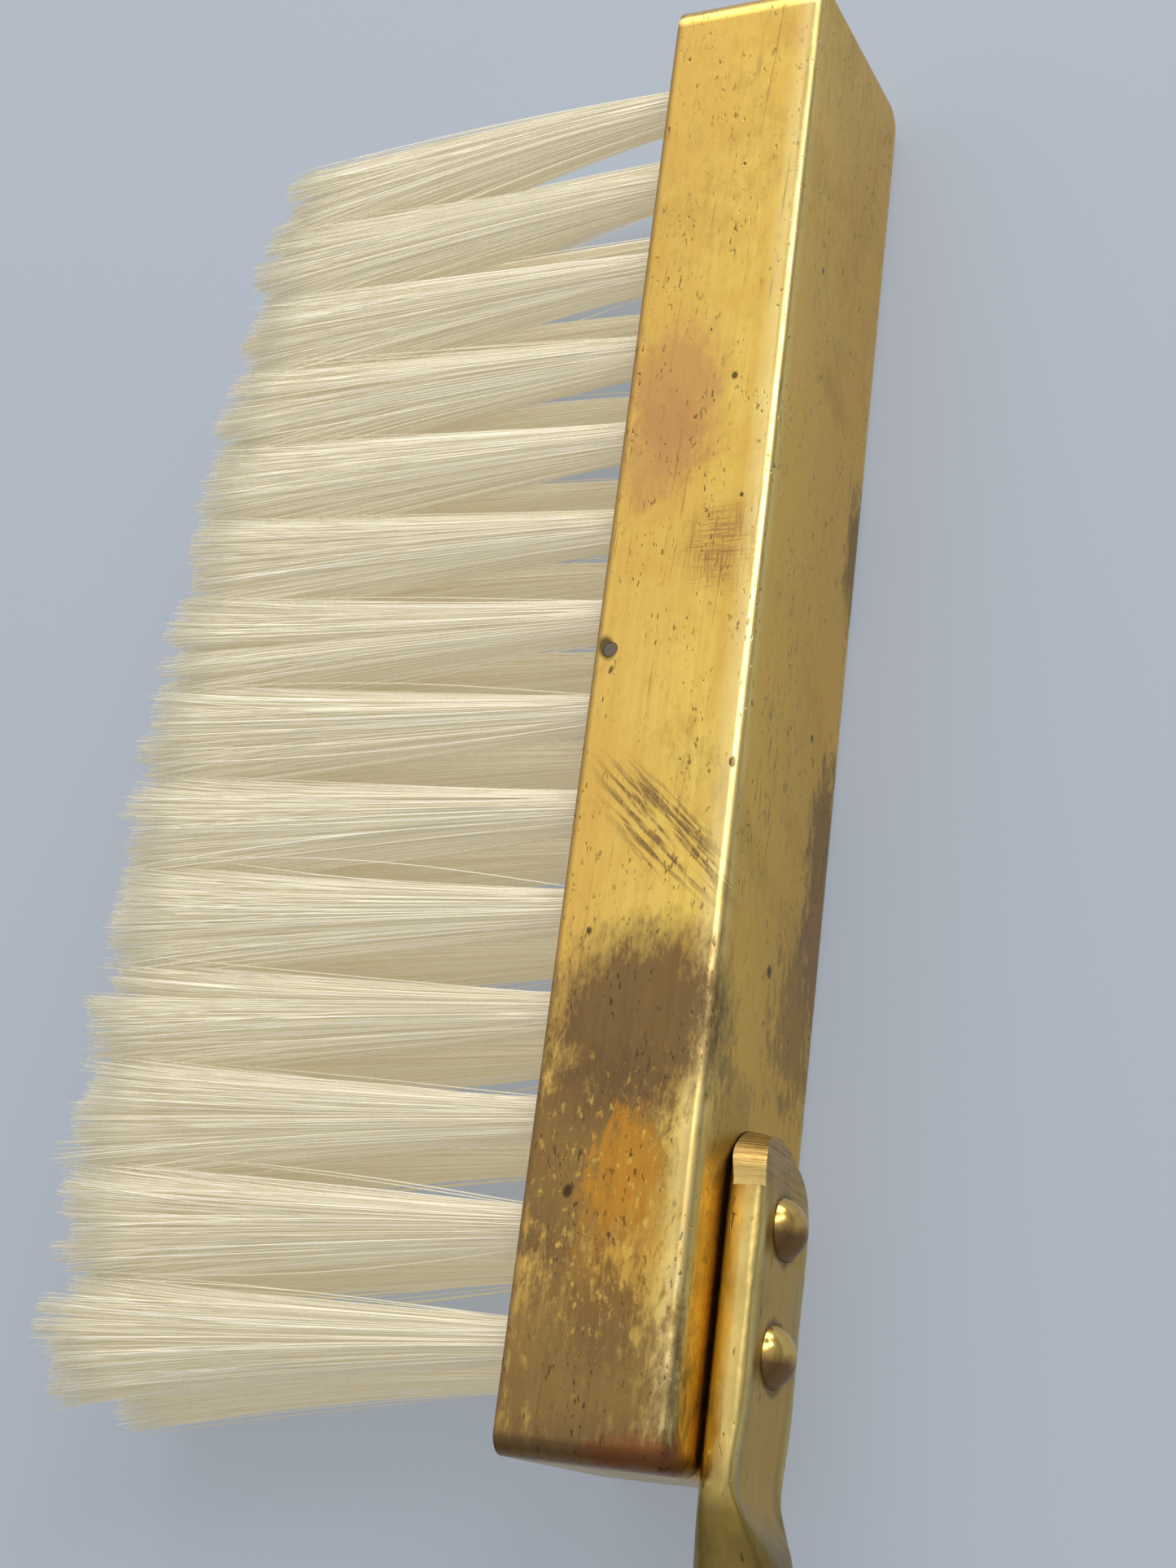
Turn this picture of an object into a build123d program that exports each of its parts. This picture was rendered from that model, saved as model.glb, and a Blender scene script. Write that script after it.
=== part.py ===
from build123d import *
import math
import os

# Brass-cased hearth brush lying on its side, in millimetres.
# Design axes: X = 0 is the back of the head and the bristles point to -X,
# Y = 0 is the head's handle end and Y = head_length its free end,
# Z = 0 is the lower side of the head, so the brush is symmetric about Z = half_width.

# Head
head_length = 150.0
head_width = 24.5
cover_depth = 16.0
sheet = 0.8
back_edge_radius = 1.4
corner_radius = 1.8
free_corner_radius = 3.4
half_width = head_width / 2
end_skew_across = 1.9
end_skew_down = 0.7

# Wooden block inside the cover
block_recess = 0.7
block_chamfer = 1.4
block_free_chamfer = 2.8
hole_radius = 2.2
hole_depth = 9.0

# Tufts: two rows, each folded over a flat wire anchor in its hole
tufts_per_row = 14
tuft_pitch = 10.0
first_tuft_y = (head_length - (tufts_per_row - 1) * tuft_pitch) / 2 + 1.4
row_offset = 5.6
tuft_radius = 2.15
tuft_spread = 4.85
flare_share = 0.55
middle_length = 54.0
end_shortening = 4.5
free_end_shortening = 1.5
anchor_thickness = 0.4
anchor_height = 1.6
anchor_length = 5.4

# Pins through the cover's sides into the block
side_pin_radius = 0.7
side_pin_length = 5.0
side_pin_from_edge = 1.5

# Handle tube, flattened into a tongue that lies on the head's back
tube_radius = 4.4
tube_wall = 0.8
tube_axis_x = 3.1
tube_end_y = -208.0
tongue_half_width = 6.2
tongue_height = 3.8
tongue_tip_height = 2.8
tongue_roll_height = 4.05
tongue_end_y = 31.8
tongue_dish = 0.1
press_softness = 0.05
tongue_squareness = 5.0
round_until_y = -9.5
flat_from_y = 1.5
bend_dip = 0.5
bend_end_y = 9.0
bore_end_y = -12.0

# Rivets through the tongue and the cover, closed over washers inside
rivet_positions_y = {"lower": 12.0, "upper": 23.1}
rivet_seat = tongue_height - tongue_dish - 0.08
rivet_head_radius = 2.8
rivet_head_height = 2.0
rivet_shank_radius = 1.6
rivet_clearance = 0.05
washer_radius = 3.5
washer_thickness = 0.8
rivet_tail_radius = 2.3
rivet_tail_height = 1.0
pocket_radius = 4.0
pocket_depth = 2.2

# Turned end of the handle: a collar, a baluster finial with a hanging eye, and its cross pin
collar_radius = 6.6
collar_length = 5.0
spigot_length = 14.0
knob_radius = half_width
knob_centre_y = -229.5
eye_radius = 7.0
eye_hole_radius = 3.0
eye_thickness = 4.5
eye_centre_y = -247.0
finial_pin_radius = 1.0

origin_x = (tube_axis_x + knob_radius - cover_depth + block_recess - middle_length) / 2
origin_y = (head_length + eye_centre_y - eye_radius) / 2


def save(name, *solids):
    shape = solids[0] if len(solids) == 1 else Compound(children=list(solids))
    moved = Pos(-origin_x, -origin_y, 0) * shape
    export_step(moved, os.path.join("parts", name + ".step"))


def box(low, high):
    size = [b - a for a, b in zip(low, high)]
    middle = [(a + b) / 2 for a, b in zip(low, high)]
    return Pos(*middle) * Box(*size)


def cylinder_x(radius, x_from, x_to, y, z):
    middle = Pos((x_from + x_to) / 2, y, z) * Rot(0, 90, 0)
    return middle * Cylinder(radius, abs(x_to - x_from))


def cylinder_y(radius, y_from, y_to, x, z):
    middle = Pos(x, (y_from + y_to) / 2, z) * Rot(90, 0, 0)
    return middle * Cylinder(radius, abs(y_to - y_from))


def cylinder_z(radius, z_from, z_to, x, y):
    return Pos(x, y, (z_from + z_to) / 2) * Cylinder(radius, abs(z_to - z_from))


def smoothstep(value, start, end):
    t = min(1.0, max(0.0, (value - start) / (end - start)))
    return t * t * (3 - 2 * t)


def mix(a, b, t):
    return a + (b - a) * t


# ---- head ----

def beyond_skewed_end(inset):
    """All that lies beyond the handle end of the head, which isn't quite square, less inset."""
    corner = Vector(0, inset, head_width)
    down = Vector(-cover_depth, end_skew_down, 0)
    across = Vector(0, end_skew_across, -head_width)
    plane = Plane(origin=corner, x_dir=down, z_dir=across.cross(down))
    return plane * Pos(0, 0, -10) * Box(100, 100, 20)


def upright_edges(body, at_free_end):
    """Edges that run in or close to the X direction, at one end of the head."""
    upright = [edge for edge in body.edges() if abs((edge @ 1 - edge @ 0).X) > 0.9 * edge.length]
    return [edge for edge in upright if ((edge @ 0).Y > head_length / 2) == at_free_end]


def tray(inset):
    """The drawn sheet form, shrunk by inset on every closed side."""
    body = box(
        (-cover_depth, inset, inset),
        (-inset, head_length - inset, head_width - inset),
    )
    body -= beyond_skewed_end(inset)
    body = fillet(upright_edges(body, at_free_end=False), corner_radius - inset)
    body = fillet(upright_edges(body, at_free_end=True), free_corner_radius - inset)
    back = body.edges().filter_by_position(Axis.X, -inset - 0.01, -inset + 0.01)
    return fillet(back, back_edge_radius - inset)


def brass_cover():
    cover = tray(0.0) - tray(sheet)
    for y in rivet_positions_y.values():
        radius = rivet_shank_radius + rivet_clearance
        cover -= cylinder_x(radius, -2 * sheet, sheet, y, half_width)
    for hole in side_pin_shapes(rivet_clearance):
        cover -= hole
    return cover


def side_pin_shapes(clearance):
    x = -cover_depth + side_pin_from_edge
    y = head_length / 2
    radius = side_pin_radius + clearance
    end = side_pin_length + clearance
    lower = cylinder_z(radius, 0, end, x, y)
    upper = cylinder_z(radius, head_width - end, head_width, x, y)
    return [lower, upper]


def wood_block():
    block = box(
        (-cover_depth + block_recess, sheet, sheet),
        (-sheet, head_length - sheet, head_width - sheet),
    )
    block -= beyond_skewed_end(sheet)
    block = chamfer(upright_edges(block, at_free_end=False), block_chamfer)
    block = chamfer(upright_edges(block, at_free_end=True), block_free_chamfer)
    block = chamfer(block.faces().sort_by(Axis.X)[-1].edges(), block_chamfer)
    holes = []
    for y, z in tuft_places():
        holes.append(cylinder_x(hole_radius, block_face_x, hole_floor_x, y, z))
        holes.append(anchor_shape(y, z, 0.05))
    for y in rivet_positions_y.values():
        holes.append(cylinder_x(pocket_radius, -sheet - pocket_depth, -sheet, y, half_width))
    holes += side_pin_shapes(0.02)
    return block - holes


# ---- tufts ----

block_face_x = -cover_depth + block_recess
hole_floor_x = block_face_x + hole_depth
anchor_x = hole_floor_x - anchor_height - 0.3


def tuft_places():
    rows = (half_width + row_offset, half_width - row_offset)
    return [(first_tuft_y + i * tuft_pitch, z) for z in rows for i in range(tufts_per_row)]


def anchor_shape(y, z, clearance):
    """A flat wire across the hole, its ends bitten into the wood."""
    half = (anchor_thickness / 2 + clearance, anchor_length / 2 + clearance)
    return box(
        (anchor_x - clearance, y - half[0], z - half[1]),
        (anchor_x + anchor_height + clearance, y + half[0], z + half[1]),
    )


def tuft(y, z):
    along = (y - head_length / 2) / (head_length / 2)
    length = middle_length - end_shortening * along ** 2 - free_end_shortening * along
    flare_end_x = block_face_x - flare_share * length
    root = cylinder_x(tuft_radius, block_face_x, anchor_x - 0.1, y, z)
    flare = Pos((block_face_x + flare_end_x) / 2, y, z) * Rot(0, -90, 0)
    flare = flare * Cone(tuft_radius, tuft_spread, flare_share * length)
    brush = cylinder_x(tuft_spread, flare_end_x, block_face_x - length, y, z)
    return root + flare + brush


# ---- handle ----

def handle_section(y, count=28):
    """Outline of the tube at y: round, pressed flat on top towards the tongue."""
    flat = smoothstep(y, round_until_y, flat_from_y)
    half = mix(tube_radius, tongue_half_width, flat)
    bottom = mix(tube_axis_x - tube_radius, 0.0, flat)
    crown = mix(tube_axis_x + tube_radius, tongue_roll_height, flat)
    bend = tongue_height - bend_dip * (1 - smoothstep(y, flat_from_y, bend_end_y))
    press = mix(tube_axis_x + tube_radius + 1.0, bend, smoothstep(y, round_until_y, 1.0))
    press = mix(press, tongue_tip_height, smoothstep(y, 24.0, tongue_end_y))
    power = mix(2.0, tongue_squareness, flat)
    middle = (bottom + crown) / 2
    rise = (crown - bottom) / 2
    points = []
    for step in range(count):
        angle = 2 * math.pi * step / count
        c, s = math.cos(angle), math.sin(angle)
        shrink = (abs(c) ** power + abs(s) ** power) ** (1 / power)
        across = half * c / shrink
        up = middle + rise * s / shrink
        dish = tongue_dish * flat * max(0.0, 1 - (across / (0.8 * tongue_half_width)) ** 2)
        if s > 0:
            gap = up - (press - dish)
            up -= (gap + math.sqrt(gap * gap + press_softness)) / 2
        points.append((up, y, half_width + across))
    return Face(Wire([Spline(*points, periodic=True)]))


def round_section(y):
    plane = Plane(origin=(tube_axis_x, y, half_width), x_dir=(0, 0, 1), z_dir=(0, 1, 0))
    return plane * Circle(tube_radius)


def handle_tube():
    round_stations = [round_until_y, round_until_y + 1.0]
    stations = [-6.5, -5.0, -3.5, -2.0, -0.5, 1.0, 2.5, 6.0, 12.0, 18.0, 24.0, 29.0, 34.0]
    sections = [round_section(y) for y in round_stations]
    sections += [handle_section(y) for y in stations]
    tongue = loft(sections)
    tongue -= box((-9, -0.3, -5), (0, 40, head_width + 5))
    tongue = tongue - tip_cutter()
    tube = cylinder_y(tube_radius, tube_end_y, round_until_y, tube_axis_x, half_width)
    handle = tube + tongue
    handle -= cylinder_y(tube_radius - tube_wall, tube_end_y, bore_end_y, tube_axis_x, half_width)
    for y in rivet_positions_y.values():
        handle -= cylinder_x(rivet_shank_radius + rivet_clearance, -1, 9, y, half_width)
        handle -= cylinder_x(rivet_head_radius + rivet_clearance, rivet_seat, 9, y, half_width)
    return handle - finial_pin(rivet_clearance)


def tip_cutter():
    """All that lies outside the tongue's filed, rounded end."""
    centre_y = tongue_end_y - tongue_half_width
    low = tongue_half_width
    high = tongue_half_width - 0.9
    cone = Pos(tongue_roll_height / 2, centre_y, half_width) * Rot(0, 90, 0)
    cone = cone * Cone(low, high, tongue_roll_height)
    block = box((-1, centre_y, -5), (9, 45, head_width + 5))
    return block - cone


def rivet(y):
    """Domed head on the tongue, shank, and the tail spread over its washer."""
    washer_face = -sheet - washer_thickness
    tail_end = washer_face - rivet_tail_height
    sphere_radius = (rivet_head_radius ** 2 + rivet_head_height ** 2) / (2 * rivet_head_height)
    crown_x = rivet_seat + rivet_head_height
    middle_angle = math.asin(rivet_head_radius / sphere_radius) / 2
    shoulder = (
        crown_x - sphere_radius * (1 - math.cos(middle_angle)),
        sphere_radius * math.sin(middle_angle),
    )
    sides = Polyline(
        (crown_x, 0), (tail_end, 0), (tail_end, rivet_tail_radius - 0.5),
        (washer_face, rivet_tail_radius), (washer_face, rivet_shank_radius),
        (rivet_seat, rivet_shank_radius), (rivet_seat, rivet_head_radius),
    )
    dome = ThreePointArc((rivet_seat, rivet_head_radius), shoulder, (crown_x, 0))
    profile = make_face(sides + dome)
    return Pos(0, y, half_width) * revolve(profile, Axis.X)


def rivet_washers():
    washers = []
    for y in rivet_positions_y.values():
        ring = cylinder_x(washer_radius, -sheet - washer_thickness, -sheet, y, half_width)
        hole = cylinder_x(rivet_shank_radius + rivet_clearance, -3, 0, y, half_width)
        washers.append(ring - hole)
    return washers


# ---- turned end of the handle ----

def turned(profile):
    """A solid of revolution about the tube's axis, from (distance along Y, radius) points."""
    outline = Polyline(*[(radius, y) for y, radius in profile], close=True)
    face = make_face(outline)
    solid = revolve(face, Axis.Y)
    return Pos(tube_axis_x, 0, half_width) * solid


def handle_collar():
    inner = tube_radius + 0.02
    y0 = tube_end_y
    ring = turned([
        (y0, inner), (y0, collar_radius - 0.8), (y0 + 0.8, collar_radius),
        (y0 + 2.2, collar_radius), (y0 + 3.0, collar_radius - 1.0),
        (y0 + collar_length, tube_radius + 0.6), (y0 + collar_length, inner),
    ])
    return ring


def finial():
    """Spigot, neck bead, ball knob and flat hanging eye, turned in one piece."""
    spigot_radius = tube_radius - tube_wall - 0.03
    seat_y = tube_end_y
    start_y = seat_y + spigot_length
    spigot = cylinder_y(spigot_radius, seat_y, start_y, tube_axis_x, half_width)
    neck = turned([
        (seat_y, 0), (seat_y, 5.6), (seat_y - 1.6, 6.4), (seat_y - 3.2, 5.6),
        (seat_y - 5.0, 3.9), (seat_y - 8.0, 4.4), (seat_y - 14.0, 7.5), (seat_y - 14.0, 0),
    ])
    ball = Pos(tube_axis_x, knob_centre_y, half_width) * Sphere(knob_radius)
    stem = cylinder_y(3.6, eye_centre_y + 4, knob_centre_y - 8, tube_axis_x, half_width)
    eye = cylinder_x(
        eye_radius, tube_axis_x - eye_thickness / 2, tube_axis_x + eye_thickness / 2,
        eye_centre_y, half_width,
    )
    hole = cylinder_x(eye_hole_radius, -9, 19, eye_centre_y, half_width)
    return spigot + neck + ball + stem + eye - hole - finial_pin(rivet_clearance)


def finial_pin(clearance):
    """Cross pin through tube and spigot, filed flush with the tube."""
    radius = finial_pin_radius + clearance
    y = tube_end_y + spigot_length - 5.0
    pin = cylinder_z(radius, half_width - 6, half_width + 6, tube_axis_x, y)
    return pin & cylinder_y(tube_radius + clearance, y - 3, y + 3, tube_axis_x, half_width)


def main():
    os.makedirs("parts", exist_ok=True)
    save("brass_cover", brass_cover())
    save("wood_block", wood_block())
    for index, (y, z) in enumerate(tuft_places()):
        row = "upper" if z > half_width else "lower"
        save(f"tuft_{row}_{index % tufts_per_row + 1:02d}", tuft(y, z))
    save("tuft_anchors", *[anchor_shape(y, z, 0.0) for y, z in tuft_places()])
    save("side_pins", *side_pin_shapes(0.0))
    save("handle_tube", handle_tube())
    for name, y in rivet_positions_y.items():
        save(f"{name}_rivet", rivet(y))
    save("rivet_washers", *rivet_washers())
    save("handle_collar", handle_collar())
    save("finial", finial())
    save("finial_pin", finial_pin(0.0))


main()
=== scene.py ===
import math

import bpy
import numpy as np
from mathutils import Euler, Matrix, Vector


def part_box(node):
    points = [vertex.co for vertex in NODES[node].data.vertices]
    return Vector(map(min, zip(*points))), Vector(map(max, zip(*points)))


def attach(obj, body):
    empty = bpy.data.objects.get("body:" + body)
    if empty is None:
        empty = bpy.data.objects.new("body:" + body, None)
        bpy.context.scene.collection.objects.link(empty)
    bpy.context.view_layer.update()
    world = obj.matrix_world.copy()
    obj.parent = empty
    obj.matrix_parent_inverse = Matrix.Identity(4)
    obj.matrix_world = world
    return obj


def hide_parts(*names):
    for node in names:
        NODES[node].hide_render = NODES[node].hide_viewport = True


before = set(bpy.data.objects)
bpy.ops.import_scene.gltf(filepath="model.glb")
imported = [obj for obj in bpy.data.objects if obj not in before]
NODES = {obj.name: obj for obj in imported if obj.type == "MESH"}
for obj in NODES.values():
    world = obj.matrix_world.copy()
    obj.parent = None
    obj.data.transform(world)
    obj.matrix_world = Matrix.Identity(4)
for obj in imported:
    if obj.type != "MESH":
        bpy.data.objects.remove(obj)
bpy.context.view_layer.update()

# A brass-cased hearth brush. All lengths are in metres, in the row frame:
# the bristles point to -X, the head's free end to +Y, and +Z is up.

MM = 0.001

cover_low, cover_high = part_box("brass_cover")
BACK_X = cover_high.x
HEAD_Y1 = cover_high.y
HEAD_LENGTH = 150 * MM
HEAD_Y0 = HEAD_Y1 - HEAD_LENGTH
MID_Z = (cover_low.z + cover_high.z) / 2
BLOCK_FACE_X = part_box("wood_block")[0].x

# Places on the head, in millimetres as on_head() takes them.
OPENING_X = -16.0
SIDE_Z = 12.25
TONGUE_TOP_X = 3.7
RIVETS_Y = (12.0, 23.1)
TONGUE_ROUND_Y = 25.6

# Camera: place in millimetres on the head, turn in degrees, lens and sensor height in millimetres.
CAMERA_PLACE = (88.06, -27.64, 213.61)
CAMERA_TURN = (24.763, 24.183, 7.583)
CAMERA_LENS = 60.71
CAMERA_SENSOR = 36.0
CAMERA_NEAR = 0.01

# Lights: name, way from the aim, size, power and colour.
LIGHT_AIM = (-20, 70, 0)
LIGHTS = [
    ("key", (0.05, 0.76, 0.30), (0.8, 0.35), 4.2, (1.0, 0.985, 0.96)),
    ("rim", (0.36, 0.30, 0.52), (0.16, 0.5), 1.35, (1.0, 0.99, 0.97)),
    ("fill", (-0.45, 0.36, 0.78), (1.0, 1.0), 1.9, (1.0, 0.99, 0.98)),
]
SKY_TONES = [(0.0, (0.34, 0.36, 0.40)), (0.45, (0.60, 0.62, 0.66)), (1.0, (0.90, 0.92, 0.95))]
SKY_STRENGTH = 0.62

FLOOR_SIZE = 6.0
FLOOR_DROP = 0.2 * MM
FLOOR_TONES = [(0.3, (0.20, 0.225, 0.26)), (0.7, (0.22, 0.245, 0.28))]
FLOOR_GLOW = (0.45, 0.49, 0.55)
FLOOR_GLOW_STRENGTH = 0.52

# Bristle tufts
FILAMENTS = 1200
FILAMENT_RADIUS = 0.061 * MM
FILAMENT_STEPS = 8
TIP_TAPER = 0.6
ROOT_RADIUS = 1.9 * MM
ROOT_DEPTH = 1.5 * MM
SPREAD_Y = 6.6 * MM
SPREAD_Z = 5.2 * MM
SPREAD_POWER = 1.7
LOCKS = 22
LOCK_LENGTH_SPREAD = 0.9
LOCK_PULL = 0.42
STRAY_SHARE = 0.05
STRAY_REACH = 1.30
STRAY_BOW = 3.0
BOW = 0.30
TIP_MARGIN = 0.8 * MM
TIP_ROUNDING = 1.6 * MM
OUTWARD_SHIFT = 0.3 * MM
FLOOR_CLEARANCE = 0.25 * MM
TOP_CLEARANCE = 0.1 * MM


def on_head(x, y, z):
    """A point in millimetres from the head's back plane, its handle end and its middle plane."""
    return Vector((BACK_X + x * MM, HEAD_Y0 + y * MM, MID_Z + z * MM))


# ---- shader helper ----

class Shader:
    """Short calls for building one node material."""

    def __init__(self, owner):
        self.material = owner
        owner.use_nodes = True
        self.tree = owner.node_tree
        self.principled = self.tree.nodes.get("Principled BSDF")
        self.coordinates = None
        self.wander = None

    def node(self, kind, **settings):
        made = self.tree.nodes.new(kind)
        for name, value in settings.items():
            setattr(made, name, value)
        return made

    def link(self, output, target):
        if isinstance(target, str):
            target = self.principled.inputs[target]
        self.tree.links.new(output, target)

    def set(self, socket, value):
        self.principled.inputs[socket].default_value = value

    def base(self, roughness=0.5, metallic=0.0, specular=0.5):
        self.set("Roughness", roughness)
        self.set("Metallic", metallic)
        self.set("Specular IOR Level", specular)

    def coordinate(self, kind="Object"):
        if self.coordinates is None:
            self.coordinates = self.node("ShaderNodeTexCoord")
        return self.coordinates.outputs[kind]

    def mapped(self, vector, scale=(1, 1, 1), shift=(0, 0, 0), turn=(0, 0, 0)):
        made = self.node("ShaderNodeMapping")
        self.link(vector, made.inputs["Vector"])
        made.inputs["Scale"].default_value = scale
        made.inputs["Location"].default_value = shift
        made.inputs["Rotation"].default_value = turn
        return made.outputs["Vector"]

    def noise(self, vector, scale=1.0, detail=2.0, rough=0.5, distortion=0.0):
        made = self.node("ShaderNodeTexNoise")
        self.link(vector, made.inputs["Vector"])
        made.inputs["Scale"].default_value = scale
        made.inputs["Detail"].default_value = detail
        made.inputs["Roughness"].default_value = rough
        made.inputs["Distortion"].default_value = distortion
        return made.outputs["Fac"]

    def split(self, vector):
        made = self.node("ShaderNodeSeparateXYZ")
        self.link(vector, made.inputs[0])
        return made.outputs

    def math(self, operation, a, b=None):
        made = self.node("ShaderNodeMath", operation=operation)
        for socket, value in zip(made.inputs, (a, b)):
            if isinstance(value, (int, float)):
                socket.default_value = value
            elif value is not None:
                self.link(value, socket)
        return made.outputs[0]

    def range(self, value, low, high, to_low=0.0, to_high=1.0):
        """Value mapped from low..high to to_low..to_high, held at both ends."""
        made = self.node("ShaderNodeMapRange")
        self.link(value, made.inputs["Value"])
        limits = {"From Min": low, "From Max": high, "To Min": to_low, "To Max": to_high}
        for name, number in limits.items():
            made.inputs[name].default_value = number
        return made.outputs["Result"]

    def ramp(self, value, stops):
        """A colour for each value: stops are pairs of place and colour."""
        made = self.node("ShaderNodeValToRGB")
        self.link(value, made.inputs["Fac"])
        elements = made.color_ramp.elements
        while len(elements) < len(stops):
            elements.new(1.0)
        for element, (place, colour) in zip(elements, stops):
            element.position = place
            element.color = (*colour, 1)
        return made.outputs["Color"]

    def blend(self, share, colour, tone):
        """The colour where share is 0, and the fixed tone where it is 1."""
        made = self.node("ShaderNodeMix", data_type="RGBA")
        under, over = [s for s in made.inputs if s.type == "RGBA"]
        self.link(share, made.inputs["Factor"])
        self.link(colour, under)
        over.default_value = (*tone, 1)
        return [s for s in made.outputs if s.type == "RGBA"][0]

    def reach(self, vector, centre, radii, turn=0.0):
        """Distance from a point in radii: 1 on the ellipsoid's surface. Turn is about Z, in degrees."""
        moved = self.mapped(vector, shift=tuple(-c for c in centre))
        turned = self.mapped(moved, turn=(0, 0, math.radians(turn)))
        scaled = self.mapped(turned, scale=tuple(1 / (r * MM) for r in radii))
        length = self.node("ShaderNodeVectorMath", operation="LENGTH")
        self.link(scaled, length.inputs[0])
        return length.outputs["Value"]

    def patch(self, vector, place, radii, soft, ragged, turn=0.0):
        """A stain around a point of the head, 1 inside and 0 outside: ragged breaks its edge up."""
        edge = self.reach(vector, on_head(*place), radii, turn)
        edge = self.math("ADD", edge, self.math("MULTIPLY", self.wander, ragged))
        return self.range(edge, 1 - soft, 1 + soft, 1.0, 0.0)

    def bump(self, height, distance, normal=None):
        made = self.node("ShaderNodeBump")
        made.inputs["Distance"].default_value = distance
        self.link(height, made.inputs["Height"])
        if normal is not None:
            self.link(normal, made.inputs["Normal"])
        return made.outputs["Normal"]


# ---- camera, light and floor ----

def make_camera():
    data = bpy.data.cameras.new("camera")
    data.sensor_fit = "VERTICAL"
    data.sensor_height = CAMERA_SENSOR
    data.lens = CAMERA_LENS
    data.clip_start = CAMERA_NEAR
    camera = bpy.data.objects.new("camera", data)
    camera.location = on_head(*CAMERA_PLACE)
    camera.rotation_euler = Euler([math.radians(angle) for angle in CAMERA_TURN])
    bpy.context.scene.collection.objects.link(camera)
    bpy.context.scene.camera = camera


def area_light(name, away, size, power, colour):
    data = bpy.data.lights.new(name, "AREA")
    data.shape = "RECTANGLE"
    data.size, data.size_y = size
    data.energy = power
    data.color = colour
    light = bpy.data.objects.new(name, data)
    light.location = on_head(*LIGHT_AIM) + Vector(away)
    light.rotation_euler = (-Vector(away)).to_track_quat("-Z", "Y").to_euler()
    bpy.context.scene.collection.objects.link(light)


def make_lights():
    world = bpy.data.worlds.new("studio")
    sky = Shader(world)
    background = world.node_tree.nodes["Background"]
    up = sky.split(sky.coordinate("Generated"))[2]
    sky.link(sky.ramp(up, SKY_TONES), background.inputs["Color"])
    background.inputs["Strength"].default_value = SKY_STRENGTH
    bpy.context.scene.world = world
    for light in LIGHTS:
        area_light(*light)


def make_floor():
    bpy.ops.mesh.primitive_plane_add(size=FLOOR_SIZE, location=(0, 0, -FLOOR_DROP))
    floor = bpy.context.object
    floor.name = "floor"
    paint = Shader(bpy.data.materials.new("floor_paint"))
    paint.base(roughness=0.9, specular=0.1)
    tone = paint.noise(paint.coordinate("Object"), scale=2.0, detail=1.0)
    paint.link(paint.ramp(tone, FLOOR_TONES), "Base Color")
    paint.set("Emission Color", (*FLOOR_GLOW, 1))
    paint.set("Emission Strength", FLOOR_GLOW_STRENGTH)
    floor.data.materials.append(paint.material)


# ---- brass ----

BRIGHT_BRASS = (0.74, 0.525, 0.120)
WARM_BRASS = (0.68, 0.45, 0.095)
DEEP_BRASS = (0.60, 0.36, 0.076)
BACK_BRASS = (0.77, 0.435, 0.042)
GOLDEN_BACK_SHEEN = (0.95, 0.60, 0.070)
PALE_WORN_HIGHLIGHT = (0.88, 0.70, 0.31)
BROWN_TARNISH = (0.170, 0.100, 0.045)
PINK_TARNISH = (0.46, 0.235, 0.090)
ORANGE_TARNISH = (0.52, 0.240, 0.030)
RED_TARNISH = (0.24, 0.085, 0.030)
RUBBED_TARNISH = (0.28, 0.130, 0.055)
DARK_PIT_AND_SHADOW = (0.040, 0.027, 0.019)
OPENING_BRASS = (0.62, 0.37, 0.09)
HANDLE_LINE = (0.30, 0.20, 0.06)
NECK_BROWN = (0.17, 0.115, 0.035)
TONGUE_BRONZE = (0.74, 0.44, 0.095)
TONGUE_SIDE_HIGHLIGHT = (0.88, 0.67, 0.23)
FILED_TIP = (0.46, 0.30, 0.10)
FILE_MARK = (0.24, 0.15, 0.06)
RIVET_SHADE_BROWN = (0.17, 0.085, 0.040)

COVER_TONES = [(0.30, DEEP_BRASS), (0.46, WARM_BRASS), (0.62, BRIGHT_BRASS)]
HANDLE_TONES = [(0.28, (0.26, 0.180, 0.055)), (0.48, (0.42, 0.290, 0.070)), (0.68, (0.56, 0.385, 0.085))]
RIVET_TONES = [(0.30, (0.55, 0.33, 0.09)), (0.65, (0.80, 0.55, 0.16))]

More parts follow.
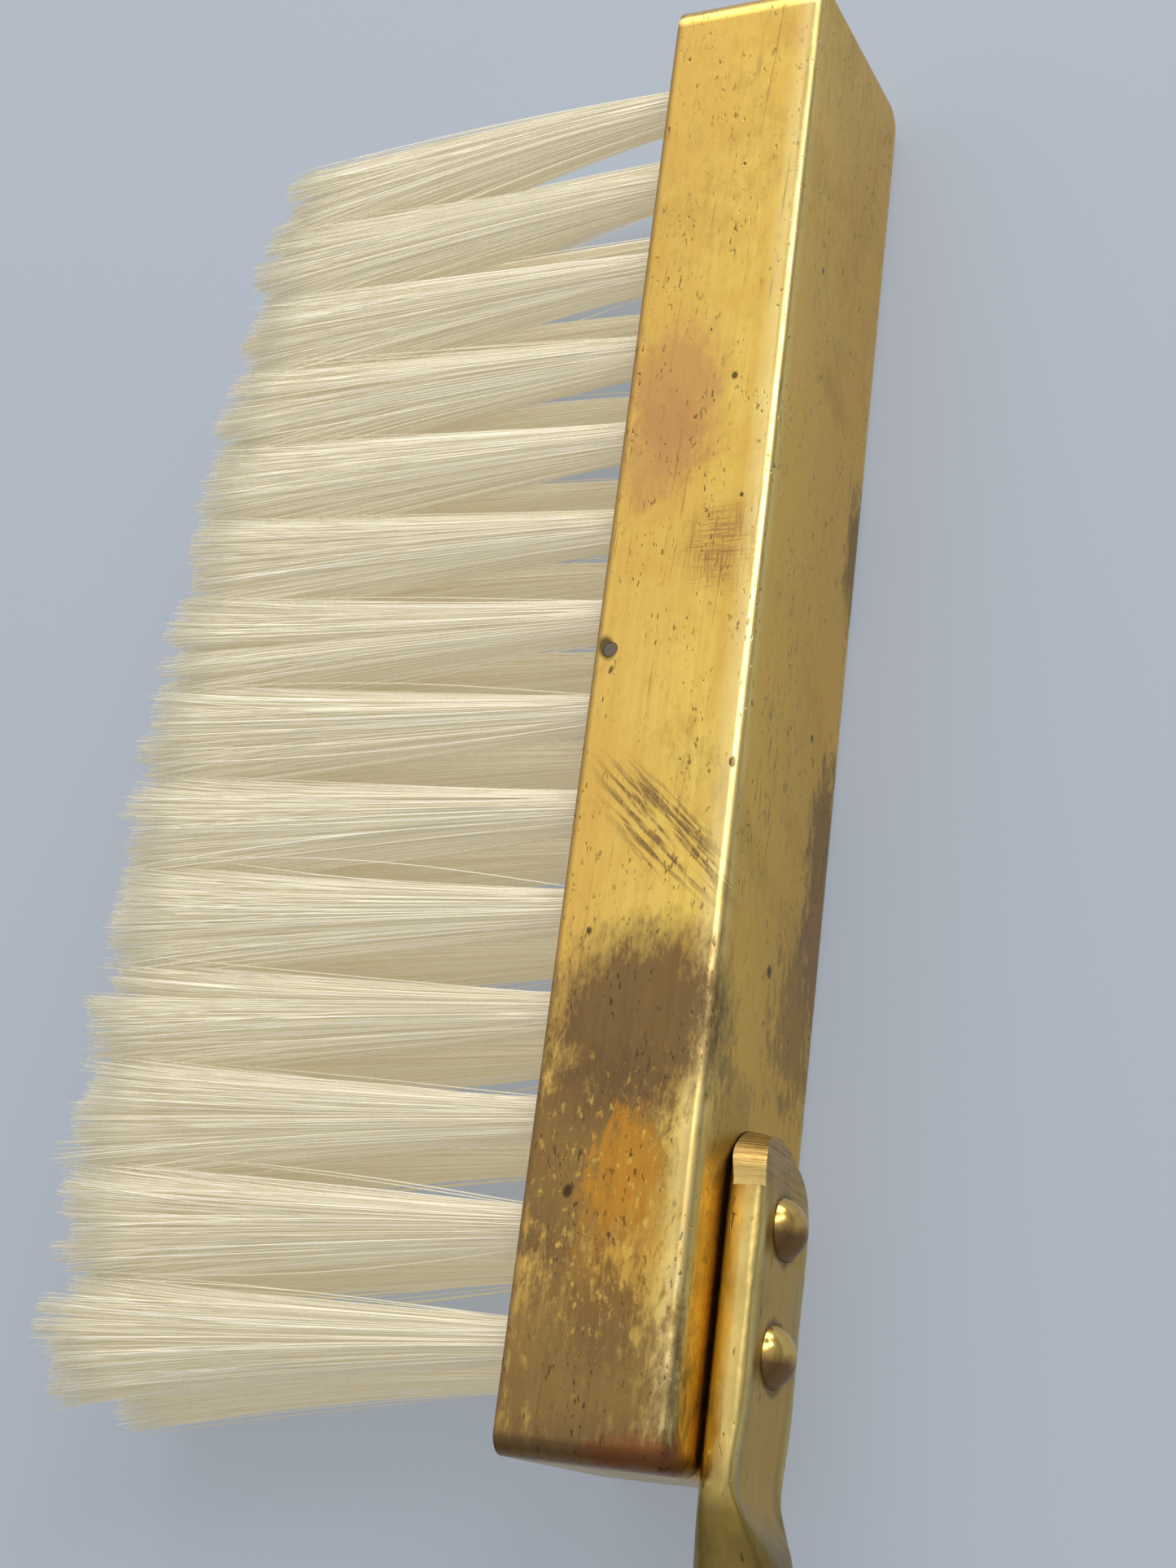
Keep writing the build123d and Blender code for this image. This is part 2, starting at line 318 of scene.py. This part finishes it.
# Stains of the cover: place on the head, radii in millimetres, tone, strength, broken edge.
STAINS = [
    ((-11.0, 102.0, SIDE_Z), (5.2, 8.0, 6), PINK_TARNISH, 0.66, 1.1),
    ((-12.5, 96.0, SIDE_Z), (4.0, 6.0, 6), PINK_TARNISH, 0.55, 1.1),
    ((-7.4, 38.5, SIDE_Z), (8.6, 9.0, 6), BROWN_TARNISH, 0.92, 0.65),
    ((-11.0, 26.0, SIDE_Z), (7.5, 11.0, 6), BROWN_TARNISH, 0.80, 1.3),
    ((-10.0, 9.0, SIDE_Z), (9.5, 10.0, 6), BROWN_TARNISH, 0.66, 1.5),
    ((-6.4, 19.0, SIDE_Z), (4.0, 8.0, 6), ORANGE_TARNISH, 0.45, 2.2),
    ((-6.8, 24.8, SIDE_Z), (2.8, 4.4, 6), ORANGE_TARNISH, 0.75, 1.5),
    ((-7.0, 12.5, SIDE_Z), (3.0, 4.5, 6), BROWN_TARNISH, 0.60, 2.0),
    ((-8.0, 5.5, SIDE_Z), (11.0, 6.5, 6), BROWN_TARNISH, 0.36, 1.4),
    ((-8.0, 0.0, SIDE_Z), (12.0, 3.6, 6), BROWN_TARNISH, 0.70, 0.6),
    ((-2.0, 0.6, SIDE_Z), (6.0, 2.2, 6), RED_TARNISH, 0.85, 0.6),
    ((0.0, 95.0, -11.5), (5, 6.5, 3.4), BROWN_TARNISH, 0.70, 1.6),
    ((0.0, 60.0, -10.5), (5, 12.0, 3.6), BROWN_TARNISH, 0.70, 1.7),
    ((0.0, 44.0, -6.5), (5, 7.0, 6.0), BROWN_TARNISH, 0.55, 1.9),
    ((0.0, 30.0, 6.5), (5, 6.0, 4.0), BROWN_TARNISH, 0.35, 2.0),
    ((-9.0, 118.0, -SIDE_Z), (6.0, 12.0, 6), BROWN_TARNISH, 0.70, 1.2),
    ((-6.0, 52.0, -SIDE_Z), (7.0, 9.0, 6), PINK_TARNISH, 0.60, 1.3),
]
# Pits of the cover: place on the head and radius in millimetres.
PITS = [
    ((-11.9, 23.2, SIDE_Z), 0.42), ((-5.0, 103.4, SIDE_Z), 0.32), ((-2.9, 90.2, SIDE_Z), 0.18),
    ((-0.9, 62.8, SIDE_Z), 0.36), ((-6.6, 128.0, SIDE_Z), 0.16), ((-13.0, 47.0, SIDE_Z), 0.28),
    ((0.0, 46.7, 0.8), 0.45), ((0.0, 72.0, -4.0), 0.30), ((0.0, 119.0, 5.0), 0.26),
    ((-8.0, 88.0, -SIDE_Z), 0.40), ((-4.0, 31.0, -SIDE_Z), 0.36),
]
# The pin in each side, half way along the opening edge.
PIN_SPOT = (-14.9, 75.2)


def brushed(shader, place, along=30.0, across=1600.0):
    """Fine lines that run along the brush, from 0 to 1."""
    stretched = shader.mapped(place, scale=(across, along, across))
    return shader.noise(stretched, scale=1.0, detail=4.0, rough=0.65)


def flecks(shader, place, scale, size, share, seed=0.0):
    """Small dark flecks in loose groups, longer along the brush than across it."""
    stretched = shader.mapped(place, scale=(1.0, 0.36, 1.0), shift=(seed, seed, seed))
    dots = shader.range(shader.noise(stretched, scale=scale, detail=1.0), size, size + 0.05)
    groups = shader.noise(stretched, scale=scale * 0.11, detail=3.0, rough=0.6)
    return shader.math("MULTIPLY", dots, shader.range(groups, 1 - share, 1.12 - share))


def hatch(shader, place, turn, across, along, low, high):
    """Parallel scratches at an angle about Z, 1 in a scratch."""
    turned = shader.mapped(place, turn=(0, 0, math.radians(turn)))
    stretched = shader.mapped(turned, scale=(across, along, across))
    return shader.range(shader.noise(stretched, scale=1.0, detail=3.0, rough=0.7), low, high)


def start_brass(name, tones, cloud_scale=70.0):
    """A brass shader, object coordinates, its cloud and streak noises, and the clouded colour."""
    shader = Shader(bpy.data.materials.new(name))
    shader.base(metallic=1.0, roughness=0.3)
    place = shader.coordinate("Object")
    clouds = shader.noise(place, scale=cloud_scale, detail=5.0, rough=0.62, distortion=0.5)
    streaked = shader.mapped(place, scale=(1.0, 0.38, 1.0))
    streaks = shader.noise(streaked, scale=1100.0, detail=7.0, rough=0.72)
    shader.wander = shader.math("ADD", shader.math("MULTIPLY", clouds, 1.1),
                               shader.math("MULTIPLY", streaks, 2.0))
    shader.wander = shader.math("SUBTRACT", shader.wander, 1.55)
    return shader, place, clouds, streaks, shader.ramp(clouds, tones)


def finish_brass(shader, place, colour, stained, lines, dark, roughness=(0.27, 0.46), relief=0.012):
    """Colour, roughness and relief shared by the brass pieces."""
    shader.link(colour, "Base Color")
    rough = shader.math("ADD", shader.range(stained, 0.0, 1.0, *roughness),
                        shader.range(lines, 0.35, 0.65, -0.04, 0.05))
    shader.link(rough, "Roughness")
    waves = shader.noise(place, scale=45.0, detail=2.0)
    normal = shader.bump(waves, 0.30 * MM)
    normal = shader.bump(lines, relief * MM, normal)
    sunk = shader.math("SUBTRACT", 1.0, dark)
    shader.link(shader.bump(sunk, 0.03 * MM, normal), "Normal")
    return shader.material


def cover_brass():
    shader, place, clouds, streaks, colour = start_brass("cover_brass", COVER_TONES)
    x, y, z = shader.split(place)
    lines = brushed(shader, place)
    fine = shader.range(lines, 0.42, 0.66, 0.0, 0.45)
    colour = shader.blend(fine, colour, DEEP_BRASS)
    dashes = shader.range(streaks, 0.50, 0.66, 0.0, 0.62)
    colour = shader.blend(dashes, colour, DEEP_BRASS)

    # The back is a deeper bronze, with a painted golden sheen towards the upper side. The upper side is
    # warmer towards the opening, and the long edges between back and sides are worn paler and carry a
    # painted highlight.
    back = shader.range(x, BACK_X - 1.5 * MM, BACK_X - 0.3 * MM)
    deeper = shader.math("MULTIPLY", back, shader.range(clouds, 0.35, 0.65, 0.75, 1.0))
    colour = shader.blend(deeper, colour, BACK_BRASS)
    golden_sheen = shader.range(z, MID_Z - 2.0 * MM, MID_Z + 11.0 * MM, 0.0, 0.55)
    colour = shader.blend(shader.math("MULTIPLY", back, golden_sheen), colour, GOLDEN_BACK_SHEEN)
    warm = shader.range(x, BACK_X + (OPENING_X + 0.5) * MM, BACK_X - 5.0 * MM, 0.55, 0.0)
    colour = shader.blend(warm, colour, OPENING_BRASS)
    # Painted highlight along the long edges between back and sides, on top of real wear that leaves them
    # paler.
    from_back = shader.range(x, BACK_X - 3.0 * MM, BACK_X - 0.5 * MM)
    sideways = shader.math("SUBTRACT", z, MID_Z)
    from_side = shader.range(shader.math("ABSOLUTE", sideways), 10.4 * MM, 11.9 * MM)
    worn_and_highlight = shader.math("MULTIPLY", shader.math("MULTIPLY", from_back, from_side),
                       shader.range(streaks, 0.25, 0.6, 0.35, 0.95))
    colour = shader.blend(worn_and_highlight, colour, PALE_WORN_HIGHLIGHT)

    # Tarnish that lies anywhere on the cover.
    broad = shader.noise(place, scale=26.0, detail=6.0, rough=0.62, distortion=0.8)
    film = shader.range(shader.math("ADD", broad, shader.math("MULTIPLY", streaks, 0.30)), 0.66, 0.90)
    colour = shader.blend(shader.math("MULTIPLY", film, 0.55), colour, BROWN_TARNISH)
    stained = film

    for spot, radii, tone, strength, ragged in STAINS:
        mask = shader.math("MULTIPLY", shader.patch(place, spot, radii, 0.30, ragged), strength)
        colour = shader.blend(mask, colour, tone)
        stained = shader.math("MAXIMUM", stained, mask)

    # Specks of clean metal where the stain by the handle has been rubbed through.
    worn_out = shader.patch(place, (-8.0, 22.0, SIDE_Z), (9.0, 12.0, 5), 0.4, 0.8)
    bare = shader.noise(shader.mapped(place, scale=(1.0, 0.5, 1.0)), scale=1500.0, detail=5.0, rough=0.7)
    bare = shader.math("MULTIPLY", worn_out, shader.range(bare, 0.57, 0.66))
    colour = shader.blend(shader.math("MULTIPLY", bare, 0.75), colour, WARM_BRASS)

    # Scratches: a slanting bundle, a cross-hatched rub, and short marks along the back.
    bundle = shader.patch(place, (-7.0, 56.5, SIDE_Z), (8.6, 3.1, 5), 0.25, 0.5, turn=45.0)
    slant = shader.math("MULTIPLY", bundle, hatch(shader, place, 45.0, 130.0, 1900.0, 0.46, 0.54))
    slant = shader.math("MULTIPLY", slant, shader.range(streaks, 0.38, 0.52, 0.35, 1.0))
    colour = shader.blend(shader.math("MULTIPLY", slant, 0.85), colour, BROWN_TARNISH)
    rub = shader.patch(place, (-4.8, 85.0, SIDE_Z), (3.0, 4.0, 5), 0.45, 0.9)
    crossed = shader.math("MAXIMUM", hatch(shader, place, 0.0, 4200.0, 240.0, 0.50, 0.60),
                          hatch(shader, place, 90.0, 4200.0, 240.0, 0.50, 0.60))
    rub = shader.math("MULTIPLY", rub, shader.range(crossed, 0.0, 1.0, 0.20, 0.75))
    colour = shader.blend(rub, colour, RUBBED_TARNISH)
    marks = shader.patch(place, (0.0, 66.0, 3.5), (4, 14.0, 3.8), 0.35, 0.7)
    marks = shader.math("MULTIPLY", marks, hatch(shader, place, 8.0, 1100.0, 170.0, 0.58, 0.66))
    colour = shader.blend(shader.math("MULTIPLY", marks, 0.7), colour, BROWN_TARNISH)
    scuffs = hatch(shader, place, 3.0, 1900.0, 55.0, 0.63, 0.70)
    colour = shader.blend(shader.math("MULTIPLY", scuffs, 0.45), colour, BROWN_TARNISH)

    # Flecks, pits, the dirt round the pins, a painted shadow beside the tongue, and a darker band along
    # the opening's rim.
    dark = flecks(shader, place, 1700.0, 0.70, 0.47)
    specks = shader.math("MULTIPLY", flecks(shader, place, 3200.0, 0.65, 0.53, seed=0.37), 0.7)
    dark = shader.math("MAXIMUM", dark, specks)
    for spot, radius in PITS:
        hole = shader.patch(place, spot, (radius, radius * 1.35, radius), 0.25, 0.35)
        dark = shader.math("MAXIMUM", dark, hole)
    for side in (1, -1):
        ring = shader.patch(place, (*PIN_SPOT, side * SIDE_Z), (0.78, 1.35, 2), 0.22, 0.25, turn=-20.0)
        dark = shader.math("MAXIMUM", dark, ring)
    # Painted contact shadow: a thin dark line on the back, along the tongue's outline.
    beyond = shader.math("SUBTRACT", y, HEAD_Y0 + TONGUE_ROUND_Y * MM)
    beyond = shader.math("MAXIMUM", beyond, 0.0)
    outline = shader.math("SQRT", shader.math("ADD", shader.math("MULTIPLY", beyond, beyond),
                                              shader.math("MULTIPLY", sideways, sideways)))
    grime_and_shadow = shader.math("MULTIPLY", shader.range(outline, 5.0 * MM, 5.3 * MM), back)
    grime_and_shadow = shader.math("MULTIPLY", grime_and_shadow, shader.range(outline, 5.9 * MM, 6.2 * MM, 1.0, 0.0))
    grime_and_shadow = shader.math("MULTIPLY", grime_and_shadow, shader.range(streaks, 0.3, 0.6, 0.3, 1.0))
    dark = shader.math("MAXIMUM", dark, grime_and_shadow)
    rim_x = BACK_X + OPENING_X * MM
    rim = shader.range(x, rim_x + 0.05 * MM, rim_x + 0.6 * MM, 0.85, 0.0)
    colour = shader.blend(rim, colour, BROWN_TARNISH)
    colour = shader.blend(shader.math("MULTIPLY", dark, 0.85), colour, DARK_PIT_AND_SHADOW)
    return finish_brass(shader, place, colour, stained, lines, dark)


def handle_brass():
    shader, place, clouds, _, colour = start_brass("handle_brass", HANDLE_TONES, cloud_scale=95.0)
    _, y, z = shader.split(place)
    lines = brushed(shader, place, along=45.0)
    colour = shader.blend(shader.range(lines, 0.42, 0.68, 0.0, 0.45), colour, HANDLE_LINE)

    # The flat of the tongue is bronze, and its rolled sides carry a pale golden painted highlight.
    flat_z = shader.math("ABSOLUTE", shader.math("SUBTRACT", z, MID_Z))
    tongue = shader.math("MULTIPLY", shader.range(flat_z, 3.4 * MM, 4.9 * MM, 1.0, 0.0),
                         shader.range(y, HEAD_Y0 - 7 * MM, HEAD_Y0 - 1 * MM))
    dull = shader.math("MULTIPLY", tongue, shader.range(clouds, 0.3, 0.7, 0.75, 0.35))
    colour = shader.blend(dull, colour, TONGUE_BRONZE)
    sides = shader.math("MULTIPLY", shader.range(flat_z, 4.3 * MM, 5.6 * MM),
                        shader.range(y, HEAD_Y0 - 2 * MM, HEAD_Y0 + 3 * MM))
    colour = shader.blend(shader.math("MULTIPLY", sides, 0.75), colour, TONGUE_SIDE_HIGHLIGHT)

    # File marks across the rounded tip.
    tip = shader.range(y, HEAD_Y0 + 24.5 * MM, HEAD_Y0 + 28.0 * MM)
    filed = shader.mapped(place, scale=(110.0, 2100.0, 110.0))
    filed = shader.noise(filed, scale=1.0, detail=3.0, rough=0.7)
    filed = shader.math("MULTIPLY", tip, shader.range(filed, 0.45, 0.62))
    colour = shader.blend(shader.math("MULTIPLY", tip, 0.6), colour, FILED_TIP)
    colour = shader.blend(shader.math("MULTIPLY", filed, 0.65), colour, FILE_MARK)

    # The neck, where hands and polish don't reach, is dull and brown.
    neck = shader.math("MULTIPLY", shader.range(y, HEAD_Y0 - 40 * MM, HEAD_Y0 - 12 * MM),
                       shader.range(y, HEAD_Y0 - 4 * MM, HEAD_Y0 - 0.5 * MM, 1.0, 0.0))
    neck = shader.math("MULTIPLY", neck, shader.range(clouds, 0.3, 0.7, 0.75, 0.35))
    colour = shader.blend(neck, colour, NECK_BROWN)

    # Tarnish anywhere on the handle, flecks, and the grime round each rivet.
    film = shader.noise(place, scale=55.0, detail=6.0, rough=0.65, distortion=0.8)
    film = shader.range(film, 0.54, 0.72)
    colour = shader.blend(shader.math("MULTIPLY", film, 0.40), colour, BROWN_TARNISH)
    dark = flecks(shader, place, 1300.0, 0.70, 0.50)
    dark = shader.math("MAXIMUM", dark, flecks(shader, place, 2400.0, 0.67, 0.50, seed=0.21))
    for rivet_y in RIVETS_Y:
        grime_and_shadow = shader.reach(place, on_head(TONGUE_TOP_X, rivet_y, 0), (3.25, 3.35, 3.25))
        grime_and_shadow = shader.math("ADD", grime_and_shadow, shader.math("MULTIPLY", shader.wander, 0.25))
        grime_and_shadow = shader.range(grime_and_shadow, 0.92, 1.06, 1.0, 0.0)
        dark = shader.math("MAXIMUM", dark, shader.math("MULTIPLY", grime_and_shadow, 0.7))
    colour = shader.blend(shader.math("MULTIPLY", dark, 0.85), colour, DARK_PIT_AND_SHADOW)
    stained = shader.math("MAXIMUM", film, dull)
    filed_dark = shader.math("MAXIMUM", dark, shader.math("MULTIPLY", filed, 0.5))
    return finish_brass(shader, place, colour, stained, lines, filed_dark, roughness=(0.30, 0.42))


def rivet_brass():
    shader, place, _, _, colour = start_brass("rivet_brass", RIVET_TONES, cloud_scale=260.0)
    lines = brushed(shader, place, along=200.0, across=900.0)

    # The side of each head that faces the handle's end, away from the light, carries painted brown
    # shade.
    along = shader.split(shader.coordinate("Generated"))[1]
    along = shader.math("ADD", along, shader.math("MULTIPLY", shader.wander, 0.16))
    shaded_foot = shader.range(along, 0.36, 0.56, 1.0, 0.0)
    colour = shader.blend(shader.math("MULTIPLY", shaded_foot, 0.88), colour, RIVET_SHADE_BROWN)
    dark = flecks(shader, place, 2200.0, 0.68, 0.50)
    colour = shader.blend(shader.math("MULTIPLY", dark, 0.8), colour, DARK_PIT_AND_SHADOW)
    return finish_brass(shader, place, colour, shaded_foot, lines, dark, roughness=(0.22, 0.36), relief=0.006)


# ---- other materials ----

BRISTLE_TONES = [
    (0.0, (0.76, 0.68, 0.49)), (0.12, (0.82, 0.75, 0.57)),
    (0.45, (0.86, 0.81, 0.64)), (1.0, (0.92, 0.88, 0.74)),
]
BRISTLE_ROOT = (0.86, 0.74, 0.50)
# The bristles glow faintly: painted light in place of the light that shines through real bristles.
BRISTLE_GLOW = (0.80, 0.73, 0.56)
BRISTLE_GLOW_STRENGTH = 0.17
WOOD_TONES = [(0.30, (0.36, 0.22, 0.11)), (0.50, (0.52, 0.35, 0.19)), (0.72, (0.62, 0.44, 0.26))]
WOOD_RAY = (0.28, 0.15, 0.07)
WIRE_TONES = [(0.35, (0.10, 0.085, 0.075)), (0.55, (0.17, 0.14, 0.11)), (0.72, (0.22, 0.11, 0.05))]


def bristle_material():
    shader = Shader(bpy.data.materials.new("bristle"))
    shader.base(roughness=0.42, specular=0.35)
    each = shader.node("ShaderNodeNewGeometry").outputs["Random Per Island"]
    x = shader.split(shader.coordinate("Object"))[0]
    colour = shader.ramp(each, BRISTLE_TONES)
    rooted = shader.range(x, BLOCK_FACE_X - 16 * MM, BLOCK_FACE_X, 0.0, 0.22)
    colour = shader.blend(rooted, colour, BRISTLE_ROOT)
    shader.link(colour, "Base Color")
    # Painted light: a faint glow that lifts the bristles' shaded sides.
    shader.set("Emission Color", (*BRISTLE_GLOW, 1))
    shader.set("Emission Strength", BRISTLE_GLOW_STRENGTH)
    return shader.material


def wood_material():
    shader = Shader(bpy.data.materials.new("block_wood"))
    shader.base(roughness=0.6, specular=0.3)
    place = shader.coordinate("Object")
    grain = shader.mapped(place, scale=(420, 14, 420))
    grain = shader.noise(grain, scale=1.0, detail=6.0, rough=0.6, distortion=0.3)
    colour = shader.ramp(grain, WOOD_TONES)
    rays = shader.noise(shader.mapped(place, scale=(1500, 260, 1500)), scale=1.0, detail=2.0)
    colour = shader.blend(shader.range(rays, 0.60, 0.70, 0.0, 0.55), colour, WOOD_RAY)
    shader.link(colour, "Base Color")
    shader.link(shader.bump(grain, 0.05 * MM), "Normal")
    return shader.material


def wire_material():
    shader = Shader(bpy.data.materials.new("steel_wire"))
    shader.base(metallic=1.0, roughness=0.45)
    place = shader.coordinate("Object")
    rust = shader.noise(place, scale=900.0, detail=6.0, rough=0.7)
    shader.link(shader.ramp(rust, WIRE_TONES), "Base Color")
    shader.link(shader.range(rust, 0.3, 0.7, 0.35, 0.65), "Roughness")
    shader.link(shader.bump(rust, 0.03 * MM), "Normal")
    return shader.material


# ---- bristles ----

def filament_paths(node, rng):
    """Centre lines of one tuft's filaments: an array of filament, step and XYZ."""
    low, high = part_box(node)
    centre_y, centre_z = (low.y + high.y) / 2, (low.z + high.z) / 2
    root_x = BLOCK_FACE_X + ROOT_DEPTH
    length = root_x - low.x
    along = (centre_y - (HEAD_Y0 + HEAD_Y1) / 2) / (HEAD_LENGTH / 2)
    outward = 1 if centre_z > MID_Z else -1

    # Each filament's place in the tuft's round section, and its tip, drawn towards the nearest lock.
    count = FILAMENTS
    angle = rng.uniform(0, 2 * math.pi, count)
    reach = np.sqrt(rng.random(count))
    side = np.stack([reach * np.cos(angle), reach * np.sin(angle)], axis=1)
    lock_angle = rng.uniform(0, 2 * math.pi, LOCKS)
    lock_reach = np.sqrt(rng.random(LOCKS)) * 1.05
    locks = np.stack([lock_reach * np.cos(lock_angle), lock_reach * np.sin(lock_angle)], axis=1)
    lock_length = rng.normal(0, LOCK_LENGTH_SPREAD, LOCKS) * MM
    nearest = np.argmin(((side[:, None, :] - locks[None, :, :]) ** 2).sum(axis=2), axis=1)
    pull = rng.uniform(0.0, LOCK_PULL, count)[:, None]
    tip = side * (1 - pull) + locks[nearest] * pull
    stray = rng.random(count) < STRAY_SHARE
    tip[stray] *= rng.uniform(1.0, STRAY_REACH, stray.sum())[:, None]

    # The end tufts lean towards the handle, most of all the last ones.
    if along < 0:
        lean = -4.4 * abs(along) ** 6 * MM
    else:
        lean = (-7.0 * along ** 1.3 - 6.0 * along ** 8) * MM
    tip_y = centre_y + tip[:, 0] * SPREAD_Y + rng.normal(0, 0.22, count) * MM
    tip_z = centre_z + tip[:, 1] * SPREAD_Z + outward * OUTWARD_SHIFT + rng.normal(0, 0.18, count) * MM
    rounded = TIP_ROUNDING * (tip ** 2).sum(axis=1)
    shorter = np.abs(rng.normal(0, 0.9, count)) * MM
    reach_x = length - TIP_MARGIN - rounded + lock_length[nearest] - shorter
    reach_x = np.minimum(reach_x, length)
    bow_y = rng.normal(0, BOW, count) * MM
    bow_z = rng.normal(0, BOW, count) * MM
    bow_y[stray] *= STRAY_BOW

    t = np.linspace(0, 1, FILAMENT_STEPS + 1)
    flare = t ** SPREAD_POWER
    bow = np.sin(math.pi * t)
    root_y = centre_y + side[:, 0] * ROOT_RADIUS
    root_z = centre_z + side[:, 1] * ROOT_RADIUS
    y = root_y[:, None] + (tip_y - root_y)[:, None] * flare + bow_y[:, None] * bow + lean * t ** 1.5
    z = root_z[:, None] + (tip_z - root_z)[:, None] * flare + bow_z[:, None] * bow
    z = np.clip(z, FLOOR_CLEARANCE, 2 * MID_Z - TOP_CLEARANCE)
    x = root_x - reach_x[:, None] * t
    return np.stack([x, y, z], axis=2)


def tuft_filaments(node, seed, material):
    """A tuft's filaments as three-sided tubes in one mesh, in place of the CAD spindle."""
    rng = np.random.default_rng(seed)
    paths = filament_paths(node, rng)
    count, rings = paths.shape[:2]
    thick = FILAMENT_RADIUS * rng.uniform(0.85, 1.15, count)
    taper = np.ones(rings)
    taper[-1] = TIP_TAPER
    corners = rng.uniform(0, 2 * math.pi, count)[:, None] + np.arange(3) * 2 * math.pi / 3
    ring = np.stack([np.zeros_like(corners), np.cos(corners), np.sin(corners)], axis=2)
    points = paths[:, :, None, :] + ring[:, None, :, :] * (thick[:, None] * taper)[:, :, None, None]
    start = (np.arange(count) * rings * 3)[:, None, None] + (np.arange(rings - 1) * 3)[None, :, None]
    corner = np.arange(3)[None, None, :]
    following = (corner + 1) % 3
    lower, upper = start + corner, start + following
    sides = np.stack([lower, upper, upper + 3, lower + 3], axis=3)
    first = np.arange(count) * rings * 3
    last = first + (rings - 1) * 3
    caps = [(a + 2, a + 1, a) for a in first.tolist()] + [(b, b + 1, b + 2) for b in last.tolist()]

    mesh = bpy.data.meshes.new(node + "_filaments")
    mesh.from_pydata(points.reshape(-1, 3).tolist(), [], sides.reshape(-1, 4).tolist() + caps)
    mesh.update()
    mesh.polygons.foreach_set("use_smooth", [True] * len(mesh.polygons))
    mesh.materials.append(material)
    piece = bpy.data.objects.new(node + "_filaments", mesh)
    bpy.context.scene.collection.objects.link(piece)
    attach(piece, "root")
    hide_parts(node)


def make_bristles():
    material = bristle_material()
    names = sorted(n for n in NODES if n.startswith("tuft_") and n != "tuft_anchors")
    for seed, name in enumerate(names):
        tuft_filaments(name, seed, material)


def dress(material, *names):
    """Gives the material to CAD nodes that stay as they are."""
    for name in names:
        mesh = NODES[name].data
        mesh.materials.clear()
        mesh.materials.append(material)


bpy.context.scene.view_settings.view_transform = "Standard"
make_camera()
make_lights()
make_floor()
make_bristles()
dress(cover_brass(), "brass_cover")
dress(handle_brass(), "handle_tube", "finial", "handle_collar", "finial_pin")
dress(rivet_brass(), "upper_rivet", "lower_rivet", "rivet_washers")
dress(wood_material(), "wood_block")
dress(wire_material(), "side_pins", "tuft_anchors")
